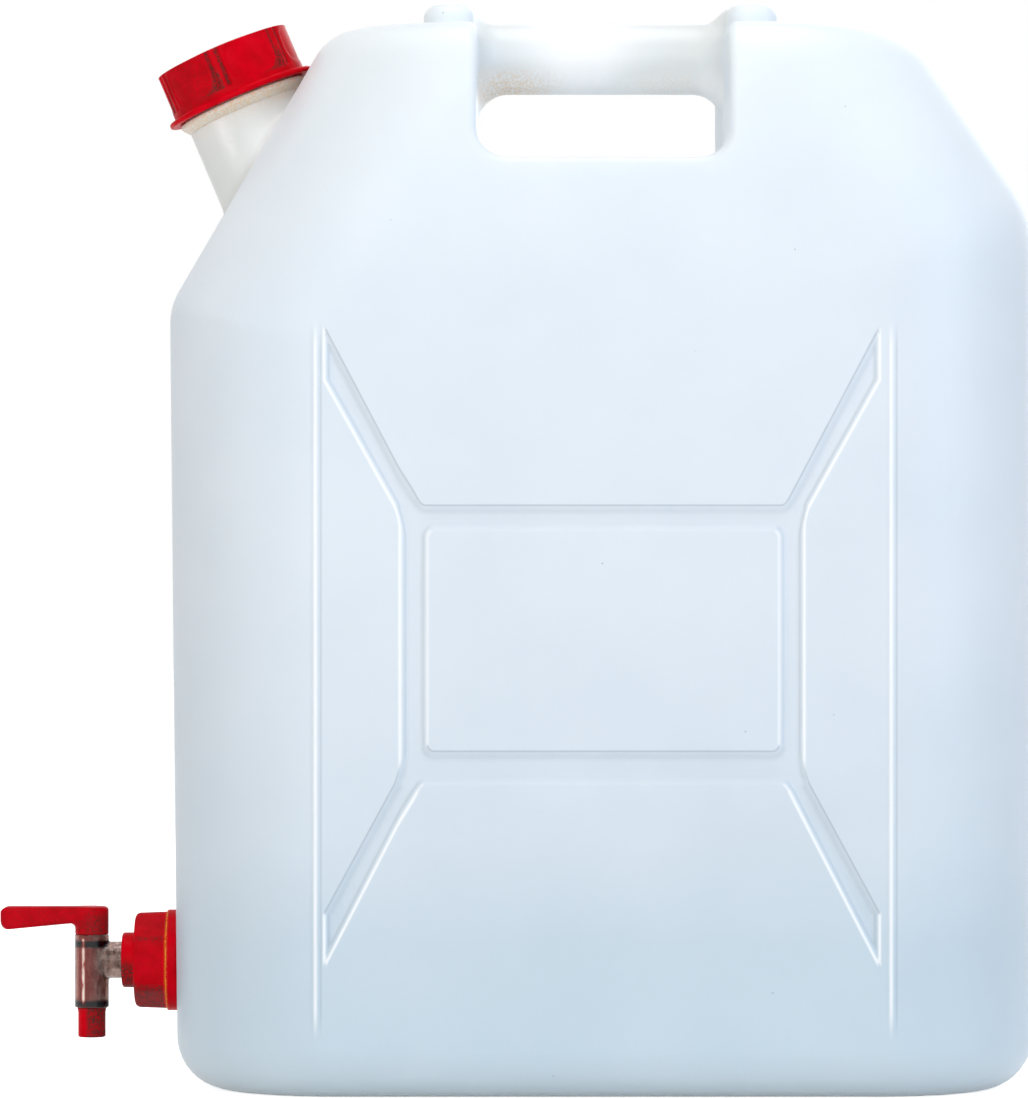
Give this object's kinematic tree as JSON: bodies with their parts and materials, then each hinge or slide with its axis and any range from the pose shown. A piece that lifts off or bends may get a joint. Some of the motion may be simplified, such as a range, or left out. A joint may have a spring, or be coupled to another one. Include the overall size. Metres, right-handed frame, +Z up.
{
  "type": "jerrycan with tap",
  "caption": "Upright blow-moulded jerrycan with a slanted screw-capped fill neck, a bar handle across a top pocket and a lever tap low on one side.",
  "frame": {"origin": "middle of the can's flat base, on the ground", "axes": "+X across the broad face, away from the tap; +Y through the thickness; +Z up"},
  "size_m": [0.4074, 0.1764, 0.4245],
  "materials": {
    "natural_polyethylene": "translucent blow-moulded polyethylene, satin",
    "red_polyethylene": "moulded, satin gloss",
    "red_plug": "moulded, satin gloss",
    "clear_polypropylene": "translucent, greyish, moulded",
    "cap_seal": "foamed sealing ring",
    "black_rubber": "moulded nitrile rubber"
  },
  "bodies": {
    "can": {"can_body": "natural_polyethylene"},
    "cap_lift": {"fill_cap_seal": "cap_seal"},
    "cap": {"fill_cap": "red_polyethylene"},
    "tap_mount": {"tap_barrel": "clear_polypropylene", "tap_gasket": "black_rubber"},
    "nut": {"tap_nut": "red_polyethylene"},
    "lever": {"tap_plug": "red_plug", "tap_o_ring_upper": "black_rubber", "tap_o_ring_lower": "black_rubber"}
  },
  "joints": [
    {"name": "fill_cap_rise", "type": "slide", "parent": "can", "child": "cap_lift", "axis": [-0.3907, 0, 0.9205], "range_m": [0, 0.018]},
    {"name": "fill_cap_turn", "type": "hinge", "parent": "cap_lift", "child": "cap", "pos_m": [-0.142, 0, 0.389], "axis": [-0.3907, 0, 0.9205], "range_deg": [0, 1080]},
    {"name": "tap_draw", "type": "slide", "parent": "can", "child": "tap_mount", "axis": [-1, 0, 0], "range_m": [0, 0.0105]},
    {"name": "tap_nut_turn", "type": "hinge", "parent": "tap_mount", "child": "nut", "pos_m": [-0.175, 0, 0.048], "axis": [-1, 0, 0], "range_deg": [0, 1080]},
    {"name": "tap_lever_turn", "type": "hinge", "parent": "tap_mount", "child": "lever", "pos_m": [-0.20157, 0, 0.048], "axis": [0, 0, 1], "range_deg": [-90, 90]}
  ],
  "couplings": [
    {"joint": "fill_cap_rise", "follows": "fill_cap_turn", "m_per_rad": 0.00095492},
    {"joint": "tap_draw", "follows": "tap_nut_turn", "m_per_rad": 0.00055703}
  ]
}
